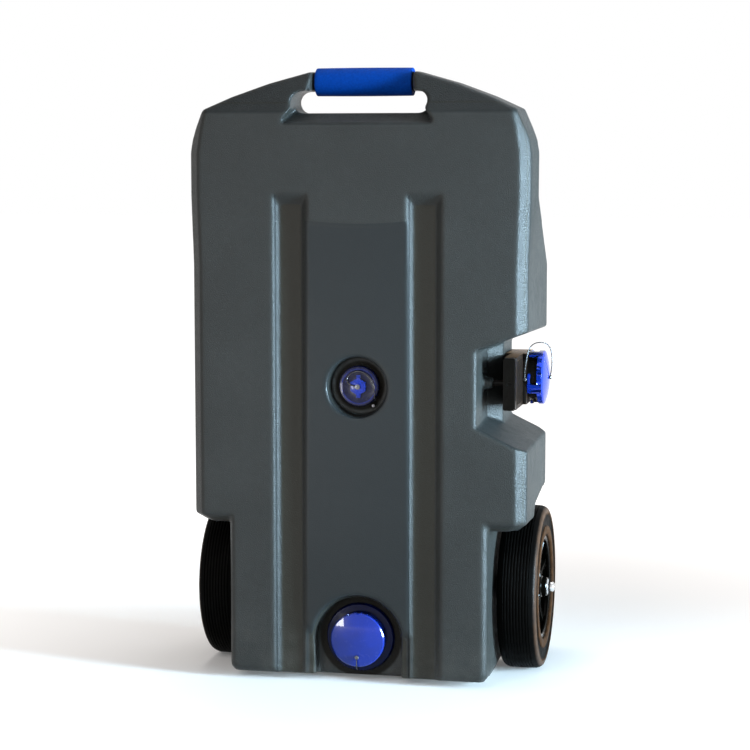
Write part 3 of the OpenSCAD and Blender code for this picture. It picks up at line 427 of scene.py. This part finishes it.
def finished(obj, node, smooth_angle=40.0, replace=True):
    """Gives a new piece the material and the body of the CAD node it stands for, and hides that node when the
    piece replaces it.
    """
    obj.data.materials.clear()
    obj.data.materials.append(materials[look_of(node)])
    for polygon in obj.data.polygons:
        polygon.use_smooth = True
    obj.data.set_sharp_from_angle(angle=math.radians(smooth_angle))
    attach(obj, body_with(node))
    if replace:
        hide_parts(node)
    return obj


def linked(name, data):
    """A new object of the scene, made of a mesh or a lamp."""
    obj = bpy.data.objects.new(name, data)
    bpy.context.scene.collection.objects.link(obj)
    return obj


def built(name, bm):
    """Turns a mesh in the making into an object of the scene."""
    mesh = bpy.data.meshes.new(name)
    bm.to_mesh(mesh)
    bm.free()
    return linked(name, mesh)


def applied(obj):
    """Turns an object's modifiers into mesh."""
    graph = bpy.context.evaluated_depsgraph_get()
    mesh = bpy.data.meshes.new_from_object(obj.evaluated_get(graph))
    obj.modifiers.clear()
    obj.data = mesh
    return obj


def node_copy(node, name):
    """A copy of a CAD node's mesh, welded and with its flat faces joined."""
    bm = bmesh.new()
    bm.from_mesh(frame["nodes"][node].data)
    bmesh.ops.remove_doubles(bm, verts=bm.verts, dist=1e-6)
    bmesh.ops.dissolve_limit(bm, angle_limit=math.radians(0.8), verts=bm.verts, edges=bm.edges)
    return built(name, bm)


def softened(node, width, segments=3, angle=32.0):
    """A CAD node with its hard edges rounded, which stands for that node."""
    obj = node_copy(node, node + "_soft")
    bevel = obj.modifiers.new("bevel", "BEVEL")
    bevel.width = width
    bevel.segments = segments
    bevel.limit_method = "ANGLE"
    bevel.angle_limit = math.radians(angle)
    return finished(applied(obj), node)


def lathe(name, profile, centre, axis, steps=160):
    """Turns an outline of (radius, distance along the axis) about an axis through centre."""
    bm = bmesh.new()
    turn = Vector((0, 0, 1)).rotation_difference(Vector(axis)).to_matrix()
    rings = []
    for k in range(steps):
        a = 2 * math.pi * k / steps
        rings.append([bm.verts.new(Vector(centre) + turn @ Vector((r * math.cos(a), r * math.sin(a), h)))
                      for r, h in profile])
    count = len(profile)
    for k in range(steps):
        here, there = rings[k], rings[(k + 1) % steps]
        for i in range(count):
            j = (i + 1) % count
            bm.faces.new((here[i], there[i], there[j], here[j]))
    bmesh.ops.remove_doubles(bm, verts=bm.verts, dist=1e-7)
    bmesh.ops.dissolve_degenerate(bm, dist=1e-7, edges=bm.edges)
    bmesh.ops.recalc_face_normals(bm, faces=bm.faces)
    return built(name, bm)


# Pieces

# Holes through the tank's wall: a point on the axis, the axis and the radius
WALL_HOLES = [
    ((0, 0, VENT_Z), "Y", 0.0280),
    ((0, 0, INLET_Z), "Y", 0.0415),
    ((0, DRAIN_Y, DRAIN_Z), "X", 0.0415),
    ((0, STAY_Y, DRAIN_Z), "X", 0.0030),
]


def on_hole(point):
    """Whether a point lies on the wall of one of the tank's holes."""
    for centre, axis, radius in WALL_HOLES:
        gap = point - Vector(centre)
        gap["XYZ".index(axis)] = 0
        if abs(gap.length - radius) < 0.2 * MM:
            return True
    return False


def close_over(bm):
    """Keeps the tank's outer skin and closes the holes that its fittings cover."""
    wall = {face for face in bm.faces if all(on_hole(v.co) for v in face.verts)}
    start = max((f for f in bm.faces if f not in wall), key=lambda f: max(abs(v.co.x) for v in f.verts))
    reached, queue = {start}, [start]
    while queue:
        for edge in queue.pop().edges:
            for face in edge.link_faces:
                if face not in reached and face not in wall:
                    reached.add(face)
                    queue.append(face)
    bmesh.ops.delete(bm, geom=[f for f in bm.faces if f not in reached], context="FACES")
    bmesh.ops.holes_fill(bm, edges=[e for e in bm.edges if e.is_boundary], sides=0)


def make_tank():
    """The moulded tank: the CAD shell's outer skin with its edges melted round."""
    bm = bmesh.new()
    bm.from_mesh(frame["nodes"]["tank_shell"].data)
    bmesh.ops.remove_doubles(bm, verts=bm.verts, dist=1e-6)
    close_over(bm)
    obj = built("tank_body", bm)
    remesh = obj.modifiers.new("remesh", "REMESH")
    remesh.mode = "VOXEL"
    remesh.voxel_size = 3.0 * MM
    smooth = obj.modifiers.new("smooth", "SMOOTH")
    smooth.factor = 0.5
    smooth.iterations = 8
    return finished(applied(obj), "tank_shell", 180.0)


def make_grip():
    """A foam sleeve: slightly fuller in the middle, with rolled ends and a seam along its back."""
    low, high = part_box("handle_grip")
    outer = (high.z - low.z) / 2
    bore = outer - 8.5 * MM
    length = high.x - low.x
    lip, swell = 2.2 * MM, 0.5 * MM
    profile = [(bore, 0.6 * MM), (bore + 0.8 * MM, 0)]
    for k in range(7):
        a = math.pi / 2 * k / 6
        profile.append((outer - swell - lip * (1 - math.sin(a)), lip * (1 - math.cos(a))))
    for k in range(1, 12):
        t = k / 12
        profile.append((outer - swell + swell * math.sin(math.pi * t), lip + t * (length - 2 * lip)))
    for k in range(7):
        a = math.pi / 2 * (1 - k / 6)
        profile.append((outer - swell - lip * (1 - math.sin(a)), length - lip * (1 - math.cos(a))))
    profile += [(bore + 0.8 * MM, length), (bore, length - 0.6 * MM)]
    middle = middle_of("handle_grip")
    obj = lathe("grip_sleeve", profile, (low.x, middle.y, middle.z), (1, 0, 0), 128)
    for vertex in obj.data.vertices:
        back = vertex.co.y - middle.y
        up = vertex.co.z - middle.z
        if back > bore and abs(up) < 2.5 * MM:
            vertex.co.y -= 1.2 * MM * (1 - abs(up) / (2.5 * MM))
    return finished(obj, "handle_grip")


def tread_profile(radius, width, rim):
    """Half of the tyre's outline is drawn from its bead to the tread, then mirrored."""
    side = [
        (rim, 7.0), (rim + 0.6, 2.2), (rim + 2.4, 0.5), (rim + 16.5, 0.2), (rim + 18.4, 1.2),
        (rim + 19.4, 3.0), (rim + 24.0, 3.4), (rim + 36.0, 2.8), (rim + 40.0, 1.8), (rim + 41.6, 0.4),
        (rim + 43.5, 0.0), (radius - 12.5, 0.5),
    ]
    for k in range(1, 9):
        a = math.radians(80 - 72 * k / 8)
        side.append((radius - 13.0 + 11.6 * math.cos(a), 12.6 - 12.0 * math.sin(a)))
    tread = []
    first, count = 15.0, 9
    step = (width - 2 * first) / (count - 1)
    for k in range(count):
        at = first + step * k
        crown = radius - 1.1 * ((at - width / 2) / (width / 2)) ** 2
        tread += [
            (crown, at - 1.3), (crown - 0.3, at - 0.9), (crown - 2.4, at - 0.7),
            (crown - 2.4, at + 0.7), (crown - 0.3, at + 0.9), (crown, at + 1.3),
        ]
    other = [(r, width - h) for r, h in reversed(side)]
    return [(r * MM, h * MM) for r, h in side + tread + other]


def make_wheel(side):
    """Tyre and rim of one side; the outer face looks away from the tank."""
    tyre_low, tyre_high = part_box("tyre_" + side)
    rim_low, rim_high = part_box("rim_" + side)
    out = 1 if side == "right" else -1
    inner_face = tyre_low.x if out > 0 else tyre_high.x
    centre = Vector((inner_face, *middle_of("tyre_" + side).yz))
    axis = (out, 0, 0)
    radius, rim = (tyre_high.z - tyre_low.z) / 2 / MM, (rim_high.z - rim_low.z) / 2 / MM
    width = (tyre_high.x - tyre_low.x) / MM
    tyre = lathe("tyre_tread_" + side, tread_profile(radius, width, rim), centre, axis, 192)
    finished(tyre, "tyre_" + side, 50.0)

    edge, wall = 4.5, 5.0
    barrel = [
        (rim - wall, edge + 9), (rim - wall - 4.5, edge + 5), (rim - wall - 4.8, edge + 1.6),
        (rim - wall - 3.2, edge), (rim - 1.0, edge), (rim + 0.4, edge + 1.2), (rim + 0.4, width - edge - 1.2),
        (rim - 1.0, width - edge), (rim - wall - 3.2, width - edge), (rim - wall - 4.8, width - edge - 1.6),
        (rim - wall - 4.5, width - edge - 5), (rim - wall, width - edge - 9),
    ]
    hub_out = (rim_high.x - rim_low.x) / MM
    hub = [
        (13.0, 0.8), (13.8, 0), (18.0, 0), (19.0, 1.0), (18.4, 16), (17.6, 30), (18.6, hub_out - 18),
        (21.5, hub_out - 14), (22.0, hub_out - 12.5), (21.5, hub_out - 11), (18.8, hub_out - 9.5),
        (18.6, hub_out - 1.2), (17.6, hub_out), (13.8, hub_out), (13.0, hub_out - 0.8),
    ]
    parts = [
        lathe("rim_barrel_" + side, [(r * MM, h * MM) for r, h in barrel], centre, axis, 128),
        lathe("rim_hub_" + side, [(r * MM, h * MM) for r, h in hub], centre, axis, 64),
    ]
    parts += [spoke("spoke_%s_%d" % (side, k), centre, out, 36.0 * k, rim - wall, width) for k in range(10)]
    rim_piece = joined("rim_" + side + "_spoked", parts)
    finished(rim_piece, "rim_" + side, 38.0)


def spoke(name, centre, out, angle, reach, width):
    """A spoke that narrows in the middle, with a channel along its outer face."""
    rows = [  # radius, half width, outer face's and inner face's distance from the tyre's inner face
        (16.5, 7.0, width - 9.0, width - 33.0), (24.0, 5.6, width - 12.0, width - 31.0),
        (45.0, 4.4, width - 15.0, width - 29.0), (70.0, 4.2, width - 15.0, width - 28.0),
        (88.0, 5.2, width - 13.0, width - 28.0), (reach + 0.8, 8.5, width - 10.5, width - 28.0),
    ]
    bm = bmesh.new()
    turn = Matrix.Rotation(math.radians(angle) * out, 3, "X")
    rings = []
    for radius, half, front, back in rows:
        section = [
            (-half, back + 1.2), (-half, front - 1.2), (-half + 1.0, front), (-half * 0.48, front),
            (-half * 0.34, front - 2.6), (half * 0.34, front - 2.6),
            (half * 0.48, front), (half - 1.0, front), (half, front - 1.2), (half, back + 1.2),
            (half - 1.2, back), (-half + 1.2, back),
        ]
        rings.append([bm.verts.new(centre + turn @ Vector((out * h * MM, s * MM, radius * MM)))
                      for s, h in section])
    for here, there in zip(rings, rings[1:]):
        for i in range(len(here)):
            j = (i + 1) % len(here)
            bm.faces.new((here[i], here[j], there[j], there[i]))
    bm.faces.new(rings[0])
    bm.faces.new(rings[-1])
    bmesh.ops.recalc_face_normals(bm, faces=bm.faces)
    return built(name, bm)


def joined(name, parts):
    """Puts several meshes into one piece."""
    bm = bmesh.new()
    for part in parts:
        bm.from_mesh(part.data)
        bpy.data.objects.remove(part)
    return built(name, bm)


def curve_through(points, steps=8):
    """A rounded path through points, as part.scad draws its tethers."""
    path = [points[0]]
    for i in range(len(points) - 1):
        a, b = points[max(i - 1, 0)], points[i]
        c, d = points[i + 1], points[min(i + 2, len(points) - 1)]
        for k in range(1, steps + 1):
            t = k / steps
            path.append(0.5 * (2 * b + (c - a) * t + (2 * a - 5 * b + 4 * c - d) * t * t
                               + (3 * b - a - 3 * c + d) * t ** 3))
    return path


def circle_round(centre, radius, axis, steps=48):
    """A closed ring of points round an axis."""
    turn = Vector((0, 0, 1)).rotation_difference(Vector(axis)).to_matrix()
    ring = [centre + turn @ Vector((radius * math.cos(a), radius * math.sin(a), 0))
            for a in (2 * math.pi * k / steps for k in range(steps))]
    return ring + ring[:1]


def add_wire(bm, uv, path, radius, sides=12):
    """A round wire along a path; its UV runs along it in metres and once round it."""
    side = None
    run = 0.0
    rows = []
    closed = (path[0] - path[-1]).length < 1e-9
    for i, point in enumerate(path):
        before = path[i - 1] if i else (path[-2] if closed else path[0])
        after = path[i + 1] if i < len(path) - 1 else (path[1] if closed else path[-1])
        tangent = (after - before).normalized()
        if side is None:
            side = tangent.orthogonal().normalized()
        side = (side - side.dot(tangent) * tangent).normalized()
        other = tangent.cross(side)
        if i:
            run += (point - path[i - 1]).length
        rows.append((run, [bm.verts.new(point + radius * (math.cos(a) * side + math.sin(a) * other))
                           for a in (2 * math.pi * k / sides for k in range(sides))]))
    for (run_a, here), (run_b, there) in zip(rows, rows[1:]):
        for k in range(sides):
            j = (k + 1) % sides
            face = bm.faces.new((here[k], here[j], there[j], there[k]))
            for loop, place in zip(face.loops, ((run_a, k), (run_a, k + 1), (run_b, k + 1), (run_b, k))):
                loop[uv].uv = (place[0], place[1] / sides)
    if not closed:
        bm.faces.new(rows[0][1])
        bm.faces.new(rows[-1][1])


def make_tether(node, route, loops):
    """A stranded wire tether: an open run between rings (centre, radius, axis)."""
    bm = bmesh.new()
    uv = bm.loops.layers.uv.new("along")
    radius = 1.1 * MM
    add_wire(bm, uv, curve_through([Vector(p) for p in route]), radius)
    for centre, ring_radius, axis in loops:
        add_wire(bm, uv, circle_round(Vector(centre), ring_radius, axis), radius)
    bmesh.ops.recalc_face_normals(bm, faces=bm.faces)
    return finished(built(node + "_wire", bm), node, 60.0)


# How far behind the tank's face the inlet's collar and the vent's floor lie, in millimetres
INLET_COLLAR, VENT_FLOOR = 34, 40


def at_inlet(x, y, z):
    """A point by the inlet, in millimetres: across, up, and out from its collar's face."""
    return Vector((x, INLET_COLLAR - z, y)) * MM + Vector((0, FRONT_Y, INLET_Z))


def at_vent(x, y, z):
    """A point by the vent, in millimetres: across, up, and out from its recess's floor."""
    return Vector((x, VENT_FLOOR - z, y)) * MM + Vector((0, FRONT_Y, VENT_Z))


def at_drain(x, y, z):
    """A point by the drain, in millimetres: out along its axis, back, and up from it."""
    return Vector((x, y, z)) * MM + Vector((0, DRAIN_Y, DRAIN_Z))


def make_tethers():
    """The three tethers, by the same routes as in part.scad."""
    make_tether("inlet_tether", [at_inlet(*p) for p in (
        (0, -35.9, 29.9), (0, -42, 30.4), (0, -50, 30.8), (0, -56, 27), (0, -58, 20), (0, -57, 11),
        (0, -53, 4), (0, -44.4, 1.8),
    )], [(at_inlet(0, -33, 29.9), 2.9 * MM, (0, 1, 0)), (at_inlet(0, 0, 1.8), 44.4 * MM, (0, 1, 0))])
    make_tether("vent_tether", [at_vent(*p) for p in (
        (-3.4, 0.4, 24.9), (-9, 2.5, 26.5), (-17.5, 5.5, 26.5), (-22, 14, 22.5), (-14.5, 24.5, 20),
        (1, 29.5, 20), (17.5, 22, 20.5), (27, 7, 20.5), (31, -8, 19.5), (32, -21, 17.5),
        (32.5, -31, 12), (32, -36, 7), (29.9, -37.7, 5.6),
    )], [(at_vent(0, 0, 24.9), 3.4 * MM, (0, 1, 0)), (at_vent(27, -38, 5.6), 2.9 * MM, (0, 1, 0))])
    make_tether("drain_tether", [at_drain(*p) for p in (
        (302.9, -52.1, 2.9), (303, -53.2, 14), (304.5, -53.2, 28), (307.5, -51, 47), (312, -45, 62),
        (319, -34, 69), (328, -22, 70.5), (338, -11, 68), (346, -3.5, 59), (349.5, -0.5, 43),
        (349.5, 0, 25), (348, 0, 11), (346.4, 0, 2.9),
    )], [(at_drain(346.4, 0, 0), 2.9 * MM, (1, 0, 0)), (at_drain(302.9, -52.1, 0), 2.9 * MM, (0, 1, 0))])


def box_mesh(bm, low, high):
    """Adds a box to a mesh in the making."""
    size = Vector(high) - Vector(low)
    middle = (Vector(high) + Vector(low)) / 2
    bmesh.ops.create_cube(bm, size=1.0, matrix=Matrix.Translation(middle) @ Matrix.Diagonal((*size, 1)))


def make_housing_ribs():
    """Upright ribs on the outer side of the gate housing, in front of the hose flange."""
    count, first, pitch = 6, 13 * MM, 12.5 * MM
    half, height, rooted, margin = 1.1 * MM, 1.1 * MM, 1 * MM, 8 * MM
    low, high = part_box("gate_housing_outer")
    bm = bmesh.new()
    for k in range(count):
        y = low.y + first + pitch * k
        foot = (high.x - rooted, y - half, low.z + margin)
        box_mesh(bm, foot, (high.x + height, y + half, high.z - margin))
    ribs = built("housing_ribs", bm)
    bevel = ribs.modifiers.new("bevel", "BEVEL")
    bevel.width = 0.5 * MM
    bevel.segments = 2
    finished(applied(ribs), "gate_housing_outer", replace=False)


# Width of the rounding along each moulded or turned piece's hard edges, in millimetres
EDGE_ROUNDING = {
    "inlet_neck": 0.8, "inlet_cap": 1.2, "vent_cap": 0.9, "drain_cap": 1.2,
    "drain_flange": 0.8, "gate_housing_inner": 1.0, "gate_housing_outer": 1.0, "gate_pull": 1.6,
    "hose_neck": 0.8, "valve_stay": 0.4, "hub_nut_left": 0.8, "hub_nut_right": 0.8,
    "valve_bolts": 0.4, "inlet_cap_pin": 0.3, "vent_cap_screw": 0.3, "vent_anchor_screw": 0.3,
    "drain_cap_pin": 0.3, "drain_anchor_screw": 0.3, "gate_pull_screw": 0.3,
    "outer_washers": 0.3, "thrust_washers": 0.3,
}


# Stage

def area_light(name, place, aim, size, power, colour=(1.0, 1.0, 1.0), spread=180.0):
    """A rectangular lamp at a place, turned to its aim; spread is its beam's width in degrees."""
    data = bpy.data.lights.new(name, "AREA")
    data.shape = "RECTANGLE"
    data.size, data.size_y = size
    data.energy = power
    data.color = colour
    data.spread = math.radians(spread)
    light = linked(name, data)
    light.location = place
    light.rotation_mode = "QUATERNION"
    light.rotation_quaternion = (Vector(aim) - Vector(place)).to_track_quat("-Z", "Y")


def make_lights():
    """Soft studio light, with a cool strip at the side that draws the tank's right edges."""
    area_light("side_light", (3.0, -0.76, 0.89), (0, -0.1, 0.64), (0.70, 1.60), 50, (0.57, 0.82, 1.0), 40.0)
    area_light("notch_light", (2.0, -2.6, 1.0), (0.24, -0.15, 0.56), (0.5, 0.9), 0.9, (0.62, 0.86, 1.0), 16.0)
    area_light("front_light", (-1.0, -3.8, 2.6), (0, 0, 0.6), (1.8, 1.8), 48, (1.0, 0.99, 0.97))
    area_light("window_light", (-1.28, -2.6, 0.22), (0, -0.18, 0.10), (0.31, 0.40), 12)
    area_light("top_light", (-0.2, 0.3, 3.6), (0, 0, 0), (1.6, 1.6), 40)


def seen_directly(tree):
    """1 where the camera sees the white surroundings, straight or in gloss or glass."""
    path = tree.nodes.new("ShaderNodeLightPath")
    seen = path.outputs["Is Camera Ray"]
    for other in ("Is Glossy Ray", "Is Transmission Ray"):
        either = tree.nodes.new("ShaderNodeMath")
        either.operation = "MAXIMUM"
        tree.links.new(seen, either.inputs[0])
        tree.links.new(path.outputs[other], either.inputs[1])
        seen = either.outputs[0]
    return seen


def make_floor():
    """Pale paper with a painted glow that is faint by the tank and rises to white away from it, so the paper
    keeps the tank's soft shadow.
    """
    half = 30
    mesh = bpy.data.meshes.new("floor")
    corners = [(-half, -half, 0), (half, -half, 0), (half, half, 0), (-half, half, 0)]
    mesh.from_pydata(corners, [], [(0, 1, 2, 3)])
    floor = linked("floor", mesh)
    s = Shader("floor_paper", Specular_IOR_Level=0.0, Emission_Color=(1, 1, 1, 1))
    s.base(s.mix(s.spread(s.noise(0.4, 3.0), 0.0, 1.0), (0.89, 0.855, 0.83), (0.93, 0.895, 0.87)))
    s.roughness(0.9)
    x, y, _ = s.axes()
    # Painted light: the paper glows, faintly near the tank and more strongly away from it.
    glow = s.spread(s.reach(x, y), 0.10, 0.84, (0.42, 1.9))
    s.link(s.product(seen_directly(s.tree), glow), s.bsdf.inputs["Emission Strength"])
    mesh.materials.append(s.material)


def make_world():
    """White surroundings, seen in full but lighting the object only softly."""
    world = bpy.data.worlds.new("studio")
    bpy.context.scene.world = world
    world.use_nodes = True
    tree = world.node_tree
    background = tree.nodes["Background"]
    strength = tree.nodes.new("ShaderNodeMapRange")
    strength.inputs["To Min"].default_value = 0.30
    strength.inputs["To Max"].default_value = 1.0
    tree.links.new(seen_directly(tree), strength.inputs["Value"])
    tree.links.new(strength.outputs["Result"], background.inputs["Strength"])
    background.inputs["Color"].default_value = (1, 1, 1, 1)


make_camera()
materials = make_materials()
make_tank()
make_grip()
for side in ("left", "right"):
    make_wheel(side)
for node, width in EDGE_ROUNDING.items():
    softened(node, width * MM)
make_tethers()
make_housing_ribs()
for name, obj in frame["nodes"].items():
    if not obj.hide_render:
        obj.data.materials.clear()
        obj.data.materials.append(materials[look_of(name)])
make_floor()
make_world()
make_lights()

scene = bpy.context.scene
scene.view_settings.view_transform = "Standard"
